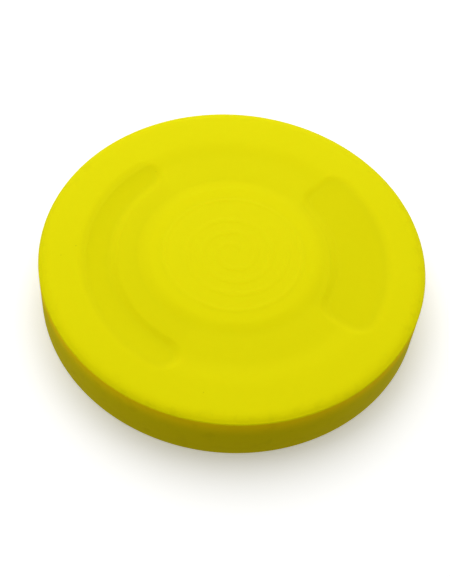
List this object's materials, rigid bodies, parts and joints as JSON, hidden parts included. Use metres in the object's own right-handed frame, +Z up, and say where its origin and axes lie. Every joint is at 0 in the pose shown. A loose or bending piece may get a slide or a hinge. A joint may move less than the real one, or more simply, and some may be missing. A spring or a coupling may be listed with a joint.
{
  "type": "pocket flying disc",
  "caption": "Palm-size soft silicone flying disc with a heavy rim, thumb and finger recesses, and a low central boss with a plain swirl badge.",
  "frame": {"origin": "centre of the face that the disc rests on, at the bottom of the rim", "axes": "+Z up out of the face, along the axis that the disc spins about; +X through the middle of the thumb grip; +Y 90 degrees anticlockwise from it, seen from above"},
  "size_m": [0.065, 0.065, 0.0098],
  "materials": {
    "face_silicone": "satin yellow silicone, fine moulded texture",
    "rim_silicone": "satin yellow silicone, moulded side wall with a parting line at its upper edge",
    "grip_silicone": "yellow silicone, slightly more matt floor of the grip recesses",
    "badge_silicone": "satin yellow silicone, smoother raised swirl"
  },
  "bodies": {
    "root": {"rim_ring": "rim_silicone", "flight_plate": "face_silicone", "centre_boss": "face_silicone", "badge": "badge_silicone", "thumb_grip": "grip_silicone", "finger_grip": "grip_silicone"}
  },
  "joints": []
}
